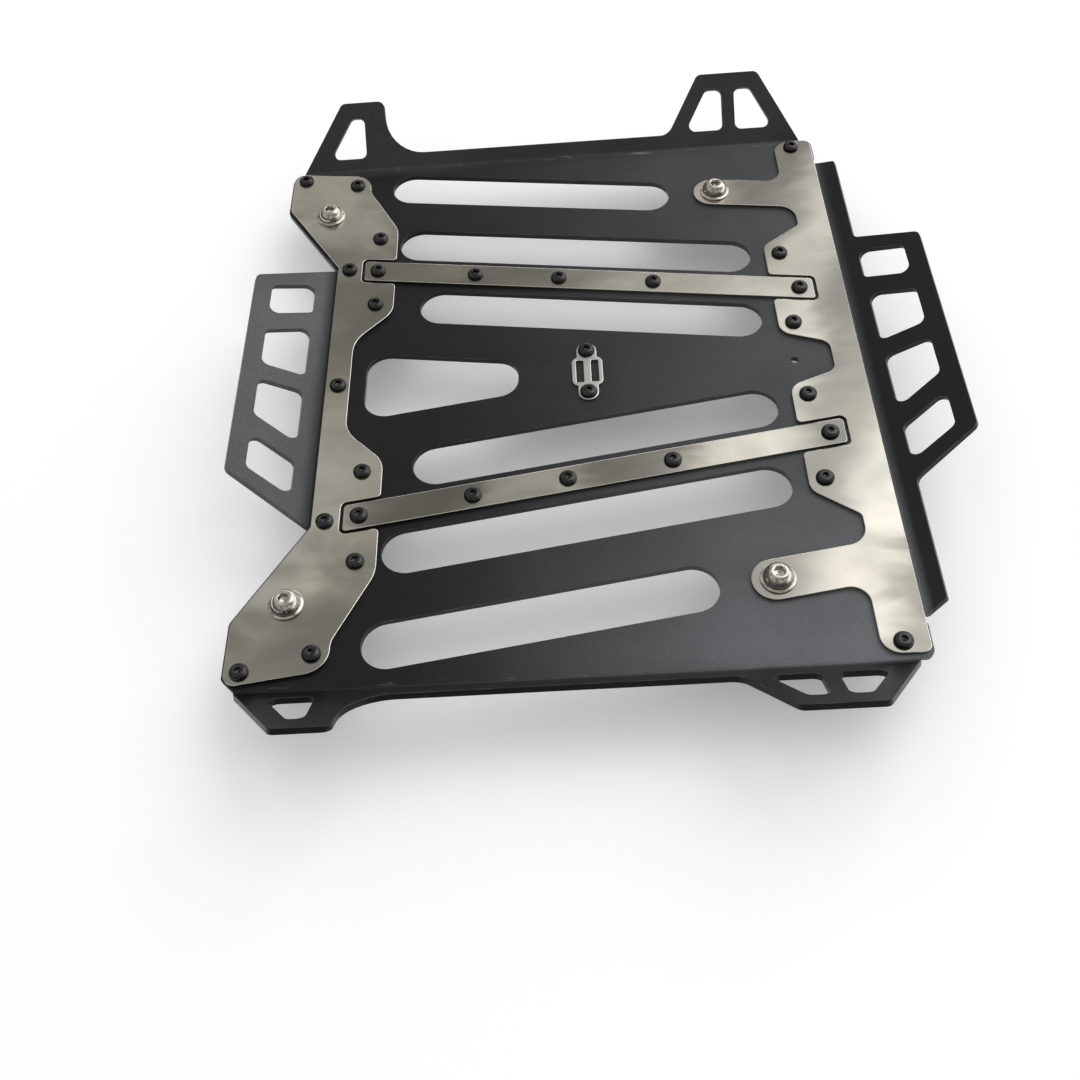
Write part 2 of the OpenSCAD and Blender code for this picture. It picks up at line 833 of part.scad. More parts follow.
// Rubber spacer between the panel and the deck
module spacer(x, y) {
    bore_r = bolt_hole_d / 2;
    outer_r = spacer_d / 2;
    color(rubber)
        translate([x, y, 0])
            rotate_extrude()
                polygon([
                    [bore_r, 0],
                    [outer_r - spacer_rim, 0],
                    [outer_r, spacer_rim],
                    [outer_r, spacer_h - spacer_rim],
                    [outer_r - spacer_rim, spacer_h],
                    [bore_r, spacer_h]
                ]);
}

module panel_washer(x, y) {
    color(bright_steel)
        translate([x, y, -panel_t - washer_t])
            difference() {
                cylinder(d = washer_d, h = washer_t);
                translate([0, 0, -over])
                    cylinder(d = bolt_hole_d, h = washer_t + 2 * over);
            }
}

// Lock nut under the washer, with the round collar that holds its locking ring
module lock_nut(x, y) {
    bore = bolt_d + 2 * thread_play;
    color(bright_steel)
        translate([x, y, -panel_t - washer_t]) {
            hex_nut(lock_nut_hex, lock_nut_h, bore);
            translate([0, 0, -lock_nut_h - lock_collar_h])
                difference() {
                    cylinder(d = lock_nut_hex - 1.5, h = lock_collar_h);
                    translate([0, 0, -over])
                        cylinder(d = bore, h = lock_collar_h + 2 * over);
                }
        }
}

deck_plate();
front_trim();
rear_trim();
right_strap();
left_strap();
badge_plate();
mounting_bolt(-bolt_x, bolt_y);  // front_right_bolt
mounting_bolt(-bolt_x, -bolt_y);  // front_left_bolt
mounting_bolt(bolt_x, bolt_y);  // rear_right_bolt
mounting_bolt(bolt_x, -bolt_y);  // rear_left_bolt
spacer(-bolt_x, bolt_y);  // front_right_spacer
spacer(-bolt_x, -bolt_y);  // front_left_spacer
spacer(bolt_x, bolt_y);  // rear_right_spacer
spacer(bolt_x, -bolt_y);  // rear_left_spacer
panel_washer(-bolt_x, bolt_y);  // front_right_washer
panel_washer(-bolt_x, -bolt_y);  // front_left_washer
panel_washer(bolt_x, bolt_y);  // rear_right_washer
panel_washer(bolt_x, -bolt_y);  // rear_left_washer
lock_nut(-bolt_x, bolt_y);  // front_right_lock_nut
lock_nut(-bolt_x, -bolt_y);  // front_left_lock_nut
lock_nut(bolt_x, bolt_y);  // rear_right_lock_nut
lock_nut(bolt_x, -bolt_y);  // rear_left_lock_nut
screw_set(both_sides(front_trim_spots), trim_top);  // front_trim_screws
screw_set(both_sides(rear_trim_spots), trim_top);  // rear_trim_screws
screw_set(strap_spots, trim_top);  // right_strap_screws
mirror([0, 1, 0]) screw_set(strap_spots, trim_top);  // left_strap_screws
screw_set(both_sides(badge_spots), deck_top + badge_t);  // badge_screws_pair
nut_set(both_sides(front_trim_spots));  // front_trim_nuts
nut_set(both_sides(rear_trim_spots));  // rear_trim_nuts
nut_set(strap_spots);  // right_strap_nuts
mirror([0, 1, 0]) nut_set(strap_spots);  // left_strap_nuts
nut_set(both_sides(badge_spots));  // badge_nuts
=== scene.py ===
"""Looks of the motorcycle luggage rack: finishes for the folded deck and its trims, detailed
fasteners, a pale studio floor with soft light, and the camera."""

import math

import bmesh
import bpy
from mathutils import Matrix, Vector


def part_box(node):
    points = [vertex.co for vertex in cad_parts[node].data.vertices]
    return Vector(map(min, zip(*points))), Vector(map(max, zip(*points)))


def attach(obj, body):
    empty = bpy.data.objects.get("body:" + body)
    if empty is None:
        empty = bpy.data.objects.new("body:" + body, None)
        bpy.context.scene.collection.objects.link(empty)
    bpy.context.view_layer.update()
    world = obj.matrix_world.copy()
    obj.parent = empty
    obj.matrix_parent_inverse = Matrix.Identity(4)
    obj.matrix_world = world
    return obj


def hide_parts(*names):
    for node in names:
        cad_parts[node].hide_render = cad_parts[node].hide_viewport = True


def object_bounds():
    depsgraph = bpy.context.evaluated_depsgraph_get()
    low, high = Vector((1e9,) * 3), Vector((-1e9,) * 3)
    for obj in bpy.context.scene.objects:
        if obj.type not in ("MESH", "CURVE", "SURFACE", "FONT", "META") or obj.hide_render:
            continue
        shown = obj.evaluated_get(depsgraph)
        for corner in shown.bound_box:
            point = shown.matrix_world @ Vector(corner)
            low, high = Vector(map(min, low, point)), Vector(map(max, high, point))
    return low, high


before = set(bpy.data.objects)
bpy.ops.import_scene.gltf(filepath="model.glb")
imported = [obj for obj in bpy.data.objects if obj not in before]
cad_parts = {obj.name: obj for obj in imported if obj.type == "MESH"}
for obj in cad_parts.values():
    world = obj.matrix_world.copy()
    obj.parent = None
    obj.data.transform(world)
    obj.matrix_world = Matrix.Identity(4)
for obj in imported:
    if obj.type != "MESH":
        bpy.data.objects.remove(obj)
cad_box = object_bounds()

MM = 0.001
SAME_POINT = 0.002 * MM  # points nearer to each other than this are one point
SIDES = 36  # facets round every turned piece, a multiple of six
RUNS = 6  # rings in one turn of a thread
FIRST_TURN, TURN_STEP = 23, 137.5  # degrees that the first and each next fastener is turned by

# Heights
TRIM_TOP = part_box("front_trim")[1].z
DECK_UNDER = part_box("front_trim_nuts")[1].z
SPACER_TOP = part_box("front_right_spacer")[1].z
FLOOR_Z = cad_box[0].z

# Directions from the deck
KEY_WAY = (0.50, 0.42, 0.76)  # to the large soft window
SIDE_WAY = (-0.35, 0.55, 0.76)  # to a second, dimmer window
WALL_WAY = (0.80, 0.60, 0.0)  # to the bright wall of the room

# Places on the deck where its coat, painted sheen and dust change, as from and to in metres
SHEEN_AND_DUST_REARWARD = (-0.08, 0.17)  # x
SHEEN_AND_DUST_LEFTWARD = (-0.03, -0.20)  # y
ONTO_FRONT_WING = (-0.113, -0.121)  # x
FRONT_WING_END = (0.104, 0.110)  # distance from the middle
ONTO_REAR_WING = (0.186, 0.191)  # x
ONTO_SIDE_FLANGE = (0.189, 0.194)  # distance from the middle
ONTO_RIGHT_FLANGE = (0.180, 0.192)  # y
FOLD_BEGINS = (0.1875, 0.1888)  # distance from the middle
FOLD_ENDS = (0.1902, 0.1918)  # distance from the middle
RIGHT_HALF = (-0.02, 0.02)  # y

# Two tones of the trims' and straps' steel
STEEL = ((0.56, 0.54, 0.475), (0.50, 0.492, 0.445))


# Node helpers

def material(name):
    """A new node material: itself, its node tree, its shader and its object coordinates."""
    mat = bpy.data.materials.new(name)
    mat.use_nodes = True
    tree = mat.node_tree
    shader = tree.nodes["Principled BSDF"]
    place = tree.nodes.new("ShaderNodeTexCoord").outputs["Object"]
    return mat, tree, shader, place


def link(tree, source, target):
    tree.links.new(source, target)


def stretched(tree, place, scale):
    """Coordinates scaled by a vector, so that a texture runs along one axis."""
    node = tree.nodes.new("ShaderNodeMapping")
    node.inputs["Scale"].default_value = scale
    link(tree, place, node.inputs["Vector"])
    return node.outputs["Vector"]


def noise(tree, place, scale, detail=3.0, roughness=0.5, distortion=0.0):
    node = tree.nodes.new("ShaderNodeTexNoise")
    node.inputs["Scale"].default_value = scale
    node.inputs["Detail"].default_value = detail
    node.inputs["Roughness"].default_value = roughness
    node.inputs["Distortion"].default_value = distortion
    link(tree, place, node.inputs["Vector"])
    return node.outputs["Fac"]


def remap(tree, value, low, high, to_low, to_high):
    """value from low..high to to_low..to_high, eased and held at the ends."""
    node = tree.nodes.new("ShaderNodeMapRange")
    node.interpolation_type = "SMOOTHSTEP"
    ends = {"From Min": low, "From Max": high, "To Min": to_low, "To Max": to_high}
    for socket, number in ends.items():
        node.inputs[socket].default_value = number
    link(tree, value, node.inputs["Value"])
    return node.outputs["Result"]


def spread(tree, value, to_low, to_high):
    """A noise brought to to_low..to_high from the span of nearly all its values."""
    return remap(tree, value, 0.3, 0.7, to_low, to_high)


def calc(tree, operation, a, b=0.0):
    """The result of a math operation on one or two numbers or sockets."""
    node = tree.nodes.new("ShaderNodeMath")
    node.operation = operation
    for socket, value in zip(node.inputs, (a, b)):
        if isinstance(value, (int, float)):
            socket.default_value = value
        else:
            link(tree, value, socket)
    return node.outputs["Value"]


def times(tree, *factors):
    """The product of two or more sockets."""
    product = factors[0]
    for factor in factors[1:]:
        product = calc(tree, "MULTIPLY", product, factor)
    return product


def dot(tree, a, b):
    """Dot product of a vector socket with a vector or another socket."""
    node = tree.nodes.new("ShaderNodeVectorMath")
    node.operation = "DOT_PRODUCT"
    link(tree, a, node.inputs[0])
    if isinstance(b, (tuple, Vector)):
        node.inputs[1].default_value = b
    else:
        link(tree, b, node.inputs[1])
    return node.outputs["Value"]


def axes(tree, place):
    """x, y and z of a vector socket."""
    node = tree.nodes.new("ShaderNodeSeparateXYZ")
    link(tree, place, node.inputs[0])
    return node.outputs["X"], node.outputs["Y"], node.outputs["Z"]


def mixed(tree, factor, a, b, blend="MIX"):
    """Colour a where factor is 0 and the blend with b where it is 1; a and b are colours or
    sockets."""
    node = tree.nodes.new("ShaderNodeMix")
    node.data_type = "RGBA"
    node.blend_type = blend
    if isinstance(factor, (int, float)):
        node.inputs[0].default_value = factor
    else:
        link(tree, factor, node.inputs[0])
    for index, value in ((6, a), (7, b)):
        if isinstance(value, tuple):
            node.inputs[index].default_value = (*value, 1.0)
        else:
            link(tree, value, node.inputs[index])
    return node.outputs[2]


def bump(tree, shader, height, strength, distance, under=None):
    """Relief from a height, over the shader's plain normal or the normal under it."""
    node = tree.nodes.new("ShaderNodeBump")
    node.inputs["Strength"].default_value = strength
    node.inputs["Distance"].default_value = distance
    link(tree, height, node.inputs["Height"])
    if under is not None:
        link(tree, under, node.inputs["Normal"])
    link(tree, node.outputs["Normal"], shader.inputs["Normal"])


def rounded(tree, radius):
    """Normal rounded over the sheet's edges, and how far it leans there, 0 on the flat to 1."""
    node = tree.nodes.new("ShaderNodeBevel")
    node.samples = 8
    node.inputs["Radius"].default_value = radius
    plain = tree.nodes.new("ShaderNodeNewGeometry").outputs["Normal"]
    lean = dot(tree, node.outputs["Normal"], plain)
    return node.outputs["Normal"], remap(tree, lean, 0.995, 0.93, 0, 1)


# Materials

def dust_and_painted_sheen(tree, place, grain):
    """How much dust and painted sheen the coat gets: most toward the rear left, then on the front
    wing and the right flange, and hardly on the rear wing and the left flange. The sheen is a
    painted highlight, brightest where the satin coat faces the light."""
    x, y, _ = axes(tree, place)
    off_middle = calc(tree, "ABSOLUTE", y)
    deck = times(
        tree,
        remap(tree, x, *SHEEN_AND_DUST_REARWARD, 0, 0.98),
        remap(tree, y, *SHEEN_AND_DUST_LEFTWARD, 0.38, 1),
    )
    wing = times(
        tree,
        remap(tree, x, *ONTO_FRONT_WING, 0, 0.62),
        remap(tree, off_middle, *FRONT_WING_END, 1, 0),
    )
    sheen_and_dust = times(
        tree,
        calc(tree, "ADD", deck, wing),
        remap(tree, x, *ONTO_REAR_WING, 1, 0.06),
        remap(tree, off_middle, *ONTO_SIDE_FLANGE, 1, 0.04),
    )
    sheen_and_dust = calc(tree, "MAXIMUM", sheen_and_dust, remap(tree, y, *ONTO_RIGHT_FLANGE, 0, 0.21))
    clouds = noise(tree, place, 14, 4.0, 0.6, 0.4)
    return times(tree, sheen_and_dust, spread(tree, clouds, 0.75, 1.1), spread(tree, grain, 0.72, 1.25))


def fold_scuffs(tree, place):
    """How scuffed the coat is along the side folds, most on the right-hand one."""
    _, y, _ = axes(tree, place)
    off_middle = calc(tree, "ABSOLUTE", y)
    nicks = noise(tree, stretched(tree, place, (70, 420, 420)), 1.0, 4.0, 0.7)
    return times(
        tree,
        remap(tree, off_middle, *FOLD_BEGINS, 0, 1),
        remap(tree, off_middle, *FOLD_ENDS, 1, 0),
        remap(tree, y, *RIGHT_HALF, 0.3, 1),
        remap(tree, nicks, 0.56, 0.70, 0, 0.85),
    )


def powder_coat():
    """Fine-textured black powder coat with dust, a painted sheen, scuffs and handling marks, rubbed
    grey along its edges, which is partly wear and partly a painted edge highlight."""
    mat, tree, shader, place = material("powder_coat")
    over_edge, edge = rounded(tree, 0.4 * MM)
    grain = noise(tree, place, 1500, 2.0, 0.6)
    specks = noise(tree, place, 620, 1.0, 0.4)
    rubs = noise(tree, place, 55, 5.0, 0.65, 0.5)
    handled = noise(tree, stretched(tree, place, (9, 60, 30)), 1.6, 6.0, 0.65, 0.6)
    black, off_black = (0.0035, 0.0040, 0.0046), (0.0075, 0.0083, 0.0094)
    base = mixed(tree, spread(tree, grain, 0, 1), black, off_black)
    # painted sheen and dust: a grey haze over the black coat, partly dust and partly a painted
    # highlight
    base = mixed(tree, dust_and_painted_sheen(tree, place, grain), base, (0.136, 0.140, 0.148))
    base = mixed(tree, fold_scuffs(tree, place), base, (0.20, 0.20, 0.195))
    base = mixed(tree, remap(tree, specks, 0.76, 0.84, 0, 0.22), base, (0.12, 0.12, 0.12))
    # edges lighter grey: partly rubbed-through wear and partly a painted edge highlight
    rubbed_and_highlit = remap(tree, rubs, 0.40, 0.72, 0, 1)
    bare_and_highlit_edge = mixed(tree, rubbed_and_highlit, (0.030, 0.031, 0.033), (0.16, 0.16, 0.155))
    link(tree, mixed(tree, edge, base, bare_and_highlit_edge), shader.inputs["Base Color"])
    smoothed = remap(tree, handled, 0.4, 0.75, 0.0, -0.07)
    roughness = calc(tree, "ADD", smoothed, spread(tree, grain, 0.31, 0.41))
    link(tree, roughness, shader.inputs["Roughness"])
    shader.inputs["Specular IOR Level"].default_value = 0.22
    bump(tree, shader, grain, 0.20, 0.0002, over_edge)
    return mat


def polished_steel(name, swing, start, darkest_band, tones=STEEL, clouding=(16, 30, 30), rough=0.21):
    """Polished stainless sheet: cloudy buffing marks, fine scratches, a slight waviness and edges
    painted bright as a highlight. Its colour carries bands of painted reflection, light and dark,
    which swing between 1 and the given darkest level along the vector swing, in radians a metre,
    from the angle start."""
    mat, tree, shader, place = material(name)
    over_edge, edge = rounded(tree, 0.65 * MM)
    clouds = noise(tree, stretched(tree, place, clouding), 1.0, 3.0, 0.5, 0.5)
    patches = noise(tree, place, 26, 2.0, 0.5, 0.3)
    hairs = noise(tree, stretched(tree, place, (90, 1400, 400)), 1.0, 3.0, 0.6)
    wave = noise(tree, stretched(tree, place, (24, 34, 30)), 1.0, 2.0, 0.4)
    warm, cool = tones
    tone = mixed(tree, remap(tree, patches, 0.36, 0.64, 0, 1), cool, warm)
    stray = 0.7  # radians by which the clouds bend the swing
    # the clouds bend the bands of painted reflection
    smear = spread(tree, clouds, start - stray, start + stray)
    angle = calc(tree, "ADD", dot(tree, place, swing), smear)
    # painted reflection: light and dark bands painted into the colour as reflections of the room
    painted_reflection = remap(tree, calc(tree, "COSINE", angle), -1, 1, darkest_band, 1)
    buffing_and_painted_reflection = times(tree, remap(tree, clouds, 0.32, 0.66, 0.86, 1.0), painted_reflection)
    tone_with_painted_reflection = mixed(tree, 1.0, tone, buffing_and_painted_reflection, "MULTIPLY")
    # edges painted near white: a painted highlight along them
    link(tree, mixed(tree, edge, tone_with_painted_reflection, (0.90, 0.89, 0.85)), shader.inputs["Base Color"])
    shader.inputs["Metallic"].default_value = 1.0
    soft = spread(tree, clouds, rough * 1.35, rough * 0.8)
    fine = remap(tree, hairs, 0.35, 0.65, -0.003, 0.005)
    link(tree, calc(tree, "ADD", soft, fine), shader.inputs["Roughness"])
    bump(tree, shader, wave, 0.40, 0.0012, over_edge)
    return mat


def turned_metal(name, tone, rough, grain_strength):
    """Cold-formed or plated fastener metal with faint mottling."""
    mat, tree, shader, place = material(name)
    spots = noise(tree, place, 420, 3.0, 0.6)
    darker = tuple(0.72 * c for c in tone)
    base = mixed(tree, remap(tree, spots, 0.35, 0.7, 0, 1), darker, tone)
    link(tree, base, shader.inputs["Base Color"])
    shader.inputs["Metallic"].default_value = 1.0
    link(tree, spread(tree, spots, rough * 1.3, rough * 0.8), shader.inputs["Roughness"])
    bump(tree, shader, noise(tree, place, 2200, 2.0), grain_strength, 0.00004)
    return mat


def moulded(name, dark, light, rough):
    """Matte moulded rubber or nylon with a fine skin."""
    mat, tree, shader, place = material(name)
    skin = noise(tree, place, 900, 3.0, 0.6)
    link(tree, mixed(tree, spread(tree, skin, 0, 1), dark, light), shader.inputs["Base Color"])
    link(tree, spread(tree, skin, rough * 0.92, rough * 1.08), shader.inputs["Roughness"])
    bump(tree, shader, skin, 0.3, 0.0001)
    return mat


# Sheet pieces: the frame's own nodes

def dress_sheet(node, mat):
    """Gives a node its finish, and shades its flats, bends and cut edges cleanly."""
    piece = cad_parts[node]
    piece.data.materials.clear()
    piece.data.materials.append(mat)
    piece.data.polygons.foreach_set("use_smooth", [True] * len(piece.data.polygons))
    weld = piece.modifiers.new("weld", "WELD")
    weld.merge_threshold = SAME_POINT
    flat = piece.modifiers.new("flat", "DECIMATE")
    flat.decimate_type = "DISSOLVE"
    flat.angle_limit = math.radians(0.5)
    corners = piece.modifiers.new("corners", "EDGE_SPLIT")
    corners.split_angle = math.radians(30)
    normals = piece.modifiers.new("normals", "WEIGHTED_NORMAL")
    normals.weight = 100


dress_sheet("deck_plate", powder_coat())
# each trim and strap gets its own bands of painted reflection, set for where it lies
for sheet, band_way, band_phase, darkest_painted_band in (
    ("front_trim", (0, 25, 0), 1.76, 0.50),
    ("rear_trim", (-71, 31.4, 0), 3.23, 0.50),
    ("right_strap", (13.7, 0, 0), -1.78, 0.52),
    ("left_strap", (52, 0, 0), 0, 0.36),
):
    steel = polished_steel("polished_" + sheet, band_way, band_phase, darkest_painted_band)
    dress_sheet(sheet, steel)
even, badge_tones = (0, 0, 0), ((0.58, 0.57, 0.54), (0.52, 0.52, 0.50))
badge_steel = polished_steel("badge_steel", even, 0, 1, badge_tones, (60, 60, 60), 0.30)
dress_sheet("badge_plate", badge_steel)


# Turned and formed pieces, made of rings of points round an axis

def ring_angles():
    return [2 * math.pi * k / SIDES for k in range(SIDES)]


def ring_point(reach, angle, z):
    return Vector((reach * math.cos(angle), reach * math.sin(angle), z))


def circle_ring(radius, z):
    return [ring_point(radius, a, z) for a in ring_angles()]


def hex_reach(flats, angle):
    """Distance from the axis to a hexagon's side in the direction of an angle."""
    within = (angle + math.pi / 6) % (math.pi / 3) - math.pi / 6
    return flats / 2 / math.cos(within)


def hex_ring(flats, z):
    return [ring_point(hex_reach(flats, a), a, z) for a in ring_angles()]


def chamfered_hex_ring(flats, z, way):
    """Hexagon whose corners fall away along a 30 degree cone, down for way 1 and up for -1."""
    start = flats / 2 * 0.97
    fall = math.tan(math.radians(30))
    points = []
    for a in ring_angles():
        reach = hex_reach(flats, a)
        points.append(ring_point(reach, a, z - way * (reach - start) * fall))
    return points


def quarter_turns(steps):
    """Angles from 0 to 90 degrees in even steps."""
    return [math.pi / 2 * k / steps for k in range(steps + 1)]


def thread_rings(radius, pitch, top, bottom):
    """Rings up a screw thread, whose depth runs in and out at the two ends."""
    depth = 0.55 * pitch
    flat_root = 1.6  # times steeper than a plain V, which leaves its root flat
    run_out, point, point_depth = 0.6 * pitch, 0.9 * pitch, 0.9 * depth
    count = max(2, round((top - bottom) / pitch * RUNS))
    rings = []
    for k in range(count + 1):
        z = top + (bottom - top) * k / count
        fade = min(1.0, (top - z) / pitch, (z - bottom) / run_out)
        chamfer = point_depth * max(0.0, 1 - (z - bottom) / point)
        points = []
        for a in ring_angles():
            turn = (z / pitch + a / (2 * math.pi)) % 1.0
            groove = min(1.0, flat_root * (1 - abs(2 * turn - 1)))
            points.append(ring_point(radius - max(chamfer, depth * groove * fade), a, z))
        rings.append(points)
    rings.reverse()
    return rings


def dome_rings(foot_r, top_r, foot_z, top_z, steps=7):
    """Rings up an elliptical dome, from its foot to the flat round its socket."""
    spread_r, rise = foot_r - top_r, top_z - foot_z
    return [
        circle_ring(top_r + spread_r * math.cos(a), foot_z + rise * math.sin(a))
        for a in quarter_turns(steps)
    ]


def socket_rings(flats, top, depth):
    """Rings into a hexagon socket with a chamfered mouth and a drilled bottom."""
    mouth = flats / math.sqrt(3)
    return [
        circle_ring(mouth + 0.12 * MM, top),
        hex_ring(flats, top - 0.22 * MM),
        hex_ring(flats, top - depth),
        circle_ring(flats * 0.36, top - depth - 0.1 * MM),
        circle_ring(flats * 0.04, top - depth - flats * 0.2),
    ]


def rings_to_mesh(bm, rings, closed):
    """Skins the rings; closed joins the last to the first, and otherwise both ends are capped."""
    loops = [[bm.verts.new(p) for p in ring] for ring in rings]
    pairs = list(zip(loops, loops[1:]))
    if closed:
        pairs.append((loops[-1], loops[0]))
    for low, high in pairs:
        for k in range(SIDES):
            n = (k + 1) % SIDES
            bm.faces.new((low[k], low[n], high[n], high[k]))
    if not closed:
        bm.faces.new(list(reversed(loops[0])))
        bm.faces.new(loops[-1])


def prototype(rings, closed=False, sharp=32):
    """A mesh of skinned rings with outward normals, smooth but for edges sharper than sharp
    degrees."""
    mesh = bpy.data.meshes.new("prototype")
    bm = bmesh.new()
    rings_to_mesh(bm, rings, closed)
    bmesh.ops.recalc_face_normals(bm, faces=bm.faces)
    for face in bm.faces:
        face.smooth = True
    for edge in bm.edges:
        edge.smooth = len(edge.link_faces) == 2 and edge.calc_face_angle() < math.radians(sharp)
    bm.to_mesh(mesh)
    bm.free()
    return mesh


def solid_boxes(node):
    """Lowest and highest corners of the separate solids in a node, in a fixed order."""
    bm = bmesh.new()
    bm.from_mesh(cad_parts[node].data)
    bmesh.ops.remove_doubles(bm, verts=bm.verts, dist=SAME_POINT)
    bm.verts.ensure_lookup_table()
    seen = [False] * len(bm.verts)
    boxes = []
    for start in bm.verts:
        if seen[start.index]:
            continue
        seen[start.index] = True
        island = [start]
        for vert in island:
            for edge in vert.link_edges:
                other = edge.other_vert(vert)
                if not seen[other.index]:
                    seen[other.index] = True
                    island.append(other)
        low = Vector(min(v.co[i] for v in island) for i in range(3))
        high = Vector(max(v.co[i] for v in island) for i in range(3))
        boxes.append((low, high))
    bm.free()
    return sorted(boxes, key=lambda b: (round(b[0].x, 4), round(b[0].y, 4)))


def place_copies(name, node, mesh, mats, seat_z):
    """One piece that stands for a node, with a copy of the mesh at each of the node's solids."""
    bm = bmesh.new()
    for k, (low, high) in enumerate(solid_boxes(node)):
        turn = math.radians(FIRST_TURN + TURN_STEP * k)
        move = Matrix.Translation(((low.x + high.x) / 2, (low.y + high.y) / 2, seat_z))
        part = mesh.copy()
        part.transform(move @ Matrix.Rotation(turn, 4, "Z"))
        bm.from_mesh(part)
        bpy.data.meshes.remove(part)
    joined = bpy.data.meshes.new(name)
    bm.to_mesh(joined)
    bm.free()
    for mat in mats:
        joined.materials.append(mat)
    piece = bpy.data.objects.new(name, joined)
    bpy.context.scene.collection.objects.link(piece)
    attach(piece, "root")
    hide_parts(node)


def button_screw():
    """M5 button-head screw, seated at z = 0."""
    head_r, head_h, rim_r, rim_z = 4.75 * MM, 2.6 * MM, 2.45 * MM, 0.5 * MM
    shank_r, length, thread_from, pitch = 2.5 * MM, 10 * MM, -4.2 * MM, 0.8 * MM
    flats, socket_depth = 3 * MM, 1.6 * MM
    return prototype([
        *thread_rings(shank_r, pitch, thread_from, -length),
        circle_ring(shank_r, -0.2 * MM),
        circle_ring(head_r - 0.3 * MM, 0.0),
        circle_ring(head_r, 0.25 * MM),
        *dome_rings(head_r, rim_r, rim_z, head_h),
        *socket_rings(flats, head_h, socket_depth),
    ])


def flanged_bolt():
    """M8 domed bolt with a flange, seated at z = 0."""
    flange_r, dome_r, brim_r = 8.85 * MM, 7.6 * MM, 4.4 * MM
    dome_foot, brim_z, top = 1.25 * MM, 6.6 * MM, 6.75 * MM
    shank_r, length, thread_from, pitch = 4.0 * MM, 35 * MM, -8 * MM, 1.25 * MM
    flats, socket_depth = 5 * MM, 2.7 * MM
    steps, last = 9, math.acos(brim_r / dome_r)
    rise = (brim_z - dome_foot) / math.sin(last)
    turns = [last * k / steps for k in range(steps + 1)]
    dome = [circle_ring(dome_r * math.cos(a), dome_foot + rise * math.sin(a)) for a in turns]
    return prototype([
        *thread_rings(shank_r, pitch, thread_from, -length),
        circle_ring(shank_r, -0.2 * MM),
        circle_ring(flange_r - 0.35 * MM, 0.0),
        circle_ring(flange_r, 0.3 * MM),
        circle_ring(flange_r - 0.05 * MM, 0.75 * MM),
        circle_ring(flange_r - 0.45 * MM, 1.0 * MM),
        circle_ring(dome_r + 0.25 * MM, 1.12 * MM),
        *dome,
        circle_ring(brim_r - 0.45 * MM, top),
        *socket_rings(flats, top, socket_depth),
    ])


def nut_sides(flats, height):
    """Rings down the outside of a chamfered hexagon nut whose top is at z = 0."""
    return [
        circle_ring(flats / 2 * 0.95, 0.0),
        chamfered_hex_ring(flats, 0.0, 1),
        chamfered_hex_ring(flats, -height, -1),
    ]


def hex_nut(flats, height, bore_r):
    """Chamfered hexagon nut whose top is at z = 0."""
    lip = 0.35 * MM
    return prototype([
        circle_ring(bore_r, -lip),
        circle_ring(bore_r + lip, 0.0),
        *nut_sides(flats, height),
        circle_ring(flats / 2 * 0.95, -height),
        circle_ring(bore_r + lip, -height),
        circle_ring(bore_r, -height + lip),
    ], closed=True, sharp=24)


def lock_nut():
    """M8 lock nut whose top is at z = 0, with a rolled collar round its ring at the bottom. The
    ring has the second material."""
    flats, height, bore_r, lip = 13 * MM, 6 * MM, 4.05 * MM, 0.4 * MM
    collar_r, bottom = 5.75 * MM, -8 * MM
    mesh = prototype([
        circle_ring(bore_r, -lip),
        circle_ring(bore_r + lip, 0.0),
        *nut_sides(flats, height),
        circle_ring(collar_r + 0.1 * MM, -height),
        circle_ring(collar_r, -height - 0.3 * MM),
        circle_ring(collar_r, bottom + 0.7 * MM),
        circle_ring(collar_r - 0.25 * MM, bottom + 0.2 * MM),
        circle_ring(collar_r - 0.8 * MM, bottom),
        circle_ring(collar_r - 1.0 * MM, bottom + 0.15 * MM),
        circle_ring(bore_r + 0.05 * MM, bottom + 0.3 * MM),
        circle_ring(bore_r, bottom + 0.5 * MM),
    ], closed=True, sharp=24)
    ring_z, ring_r = bottom + 0.6 * MM, collar_r - 0.9 * MM
    for face in mesh.polygons:
        middle = face.center
        if middle.z < ring_z and math.hypot(middle.x, middle.y) < ring_r:
            face.material_index = 1
    return mesh


def flat_washer(outer_r, bore_r, thick):
    """Washer with broken edges whose top is at z = 0."""
    edge = 0.25 * MM
    return prototype([
        circle_ring(bore_r, -edge),
        circle_ring(bore_r + edge, 0.0),
        circle_ring(outer_r - edge, 0.0),
        circle_ring(outer_r, -edge),
        circle_ring(outer_r, edge - thick),
        circle_ring(outer_r - edge, -thick),
        circle_ring(bore_r + edge, -thick),
        circle_ring(bore_r, edge - thick),
    ], closed=True, sharp=60)


def rubber_spacer(outer_r, bore_r, height):
    """Rubber spacer with rounded rims, standing at z = 0."""
    rim, steps, edge = 1.4 * MM, 4, 0.3 * MM
    core = outer_r - rim
    low_rim = [
        circle_ring(core + rim * math.sin(a), rim - rim * math.cos(a)) for a in quarter_turns(steps)
    ]
    high_rim = [
        circle_ring(core + rim * math.cos(a), height - rim + rim * math.sin(a))
        for a in quarter_turns(steps)
    ]
    return prototype([
        circle_ring(bore_r, edge),
        circle_ring(bore_r + edge, 0.0),
        *low_rim,
        *high_rim,
        circle_ring(bore_r + edge, height),
        circle_ring(bore_r, height - edge),
    ], closed=True, sharp=60)


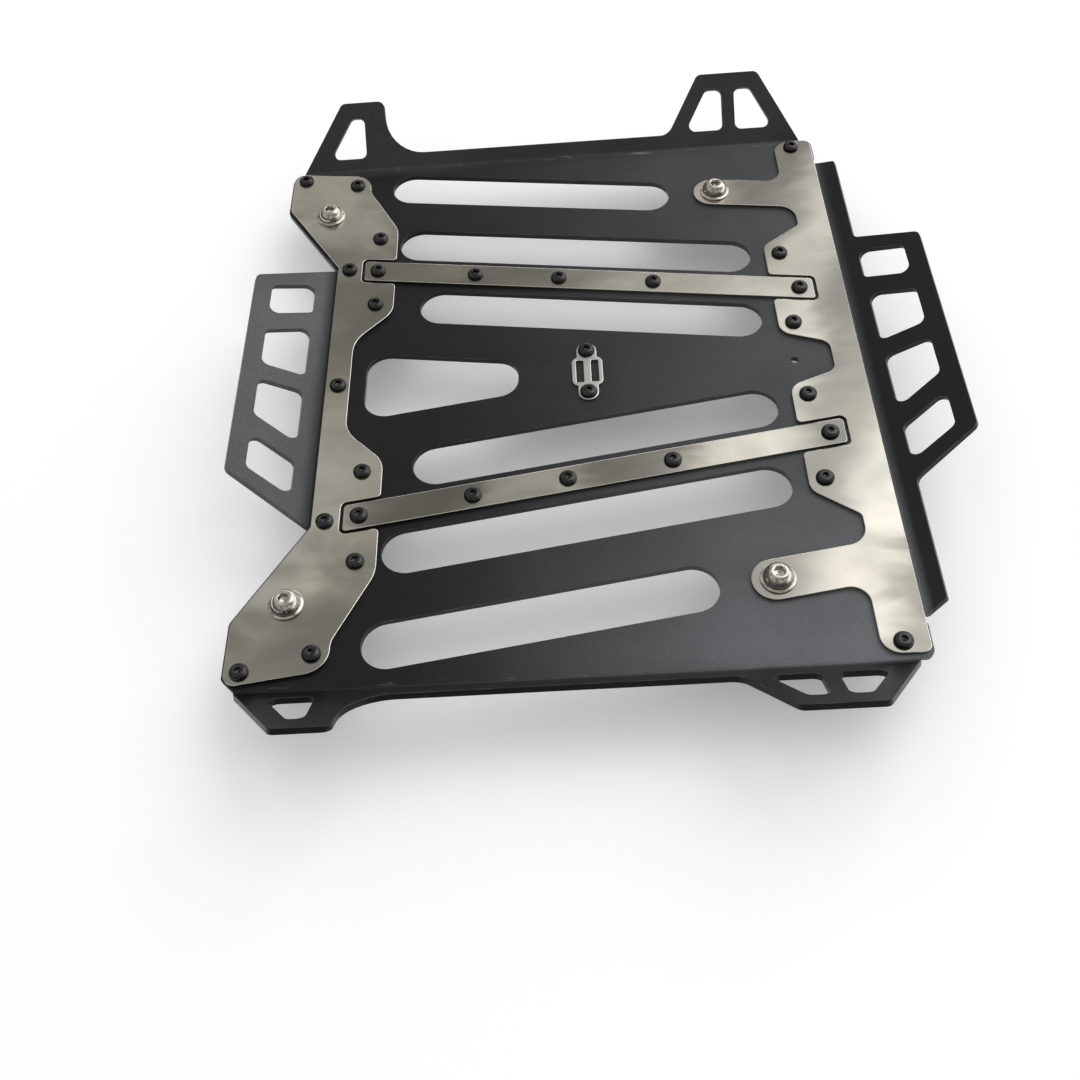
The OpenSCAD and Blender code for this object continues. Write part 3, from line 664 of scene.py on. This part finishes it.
bright_bolt = turned_metal("bright_bolt", (0.60, 0.585, 0.53), 0.08, 0.04)
black_screw = turned_metal("black_screw", (0.064, 0.064, 0.067), 0.12, 0.06)
zinc = turned_metal("zinc_steel", (0.62, 0.63, 0.64), 0.30, 0.12)
rubber = moulded("spacer_rubber", (0.012, 0.012, 0.012), (0.028, 0.028, 0.028), 0.72)
nylon = moulded("lock_ring", (0.55, 0.56, 0.58), (0.68, 0.69, 0.71), 0.5)

screw = button_screw()
nut = hex_nut(8 * MM, 4 * MM, 2.56 * MM)
for group, held, screws in (
    ("front_trim", "front_trim", "front_trim_screws"),
    ("rear_trim", "rear_trim", "rear_trim_screws"),
    ("right_strap", "right_strap", "right_strap_screws"),
    ("left_strap", "left_strap", "left_strap_screws"),
    ("badge", "badge_plate", "badge_screws_pair"),
):
    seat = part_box(held)[1].z
    place_copies(group + "_button_screws", screws, screw, [black_screw], seat)
    place_copies(group + "_hex_nuts", group + "_nuts", nut, [zinc], DECK_UNDER)

bolt = flanged_bolt()
nut_with_ring = lock_nut()
washer = flat_washer(12 * MM, 4.3 * MM, 1.6 * MM)
spacer = rubber_spacer(12 * MM, 4.3 * MM, SPACER_TOP)
for corner in ("front_right", "front_left", "rear_right", "rear_left"):
    washer_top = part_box(corner + "_washer")[1].z
    nut_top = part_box(corner + "_lock_nut")[1].z
    for kind, node, mesh, mats, z, slot in (
        ("_flanged_bolt", "_bolt", bolt, [bright_bolt], TRIM_TOP, "bright_bolt"),
        ("_rubber_spacer", "_spacer", spacer, [rubber], 0.0, "spacer_rubber"),
        ("_flat_washer", "_washer", washer, [zinc], washer_top, "zinc_steel"),
        ("_ring_nut", "_lock_nut", nut_with_ring, [zinc, nylon], nut_top, "zinc_steel"),
    ):
        place_copies(corner + kind, corner + node, mesh, mats, z)


# Floor, light and camera

def floor():
    """Pale floor that keeps the rack's shadow, and is white where it is seen or mirrored."""
    half = 8.0
    corners = ((-half, -half), (half, -half), (half, half), (-half, half))
    mesh = bpy.data.meshes.new("floor")
    mesh.from_pydata([(x, y, FLOOR_Z) for x, y in corners], [], [(0, 1, 2, 3)])
    piece = bpy.data.objects.new("floor", mesh)
    bpy.context.scene.collection.objects.link(piece)
    mat, tree, shader, _ = material("pale_floor")
    path = tree.nodes.new("ShaderNodeLightPath")
    seen = calc(tree, "MAXIMUM", path.outputs["Is Camera Ray"], path.outputs["Is Glossy Ray"])
    seen = calc(tree, "MAXIMUM", seen, path.outputs["Is Transmission Ray"])
    pale, white, black = (0.80, 0.80, 0.80), (1.0, 1.0, 1.0), (0.0, 0.0, 0.0)
    link(tree, mixed(tree, seen, pale, white), shader.inputs["Base Color"])
    link(tree, mixed(tree, seen, black, white), shader.inputs["Emission Color"])
    shader.inputs["Emission Strength"].default_value = 0.12
    shader.inputs["Roughness"].default_value = 0.9
    shader.inputs["Specular IOR Level"].default_value = 0.1
    mesh.materials.append(mat)


def window(tree, way, toward, edge, full):
    """1 in one direction of the world, falling away round it; edge and full are cosines."""
    return remap(tree, dot(tree, way, Vector(toward).normalized()), edge, full, 0, 1)


def studio_world():
    """White background for the camera and an even fill. Gloss sees a dim room with two soft
    windows above walls that are bright on one side."""
    world = bpy.data.worlds.new("studio")
    bpy.context.scene.world = world
    world.use_nodes = True
    tree = world.node_tree
    back = tree.nodes["Background"]
    path = tree.nodes.new("ShaderNodeLightPath")
    way = tree.nodes.new("ShaderNodeTexCoord").outputs["Generated"]
    _, _, height = axes(tree, way)
    room = noise(tree, stretched(tree, way, (1.6, 2.4, 3.0)), 1.5, 2.0, 0.5, 0.3)
    dim, light = (0.27, 0.258, 0.235), (0.66, 0.64, 0.60)
    gloss = mixed(tree, remap(tree, room, 0.36, 0.64, 0, 1), dim, light)
    side_window = window(tree, way, SIDE_WAY, 0.955, 0.996)
    gloss = mixed(tree, side_window, gloss, (0.80, 0.78, 0.73))
    key_window = window(tree, way, KEY_WAY, 0.80, 0.985)
    gloss = mixed(tree, key_window, gloss, (2.05, 2.03, 1.99))
    bright_side = window(tree, way, WALL_WAY, 0.05, 0.75)
    walls = mixed(tree, bright_side, (0.17, 0.17, 0.168), (1.7, 1.69, 1.66))
    gloss = mixed(tree, remap(tree, height, 0.50, 0.32, 0, 1), gloss, walls)
    fill = mixed(tree, path.outputs["Is Glossy Ray"], (0.72, 0.72, 0.73), gloss)
    camera_ray, through = path.outputs["Is Camera Ray"], path.outputs["Is Transmission Ray"]
    shown = calc(tree, "MAXIMUM", camera_ray, through)
    link(tree, mixed(tree, shown, fill, (1.0, 1.0, 1.0)), back.inputs["Color"])
    back.inputs["Strength"].default_value = 1.0


def soft_box(name, way, distance, size, power):
    """Square area light that looks at the deck from a direction, and isn't mirrored."""
    lamp = bpy.data.lights.new(name, "AREA")
    lamp.shape = "SQUARE"
    lamp.size = size
    lamp.energy = power
    piece = bpy.data.objects.new(name, lamp)
    bpy.context.scene.collection.objects.link(piece)
    toward = Vector(way).normalized()
    piece.location = toward * distance
    piece.rotation_mode = "QUATERNION"
    piece.rotation_quaternion = toward.to_track_quat("Z", "Y")
    piece.visible_glossy = False


def camera():
    """Camera at the photograph's place, above the left-hand side of the rack, as solved from
    the screws' and bolts' places."""
    place = (0.0292, -0.4607, 0.5101)
    right = Vector((0.99765, -0.02301, -0.06450))
    up = Vector((0.05602, 0.81592, 0.57545))
    back = Vector((0.03938, -0.57771, 0.81529))
    data = bpy.data.cameras.new("camera")
    data.sensor_width = 36
    data.sensor_fit = "HORIZONTAL"
    data.lens = 40
    piece = bpy.data.objects.new("camera", data)
    bpy.context.scene.collection.objects.link(piece)
    turn = Matrix((right, up, back)).transposed().to_4x4()
    piece.matrix_world = Matrix.Translation(place) @ turn
    bpy.context.scene.camera = piece


floor()
studio_world()
soft_box("key_light", KEY_WAY, distance=2.4, size=1.9, power=18)
camera()
bpy.context.scene.view_settings.view_transform = "Standard"
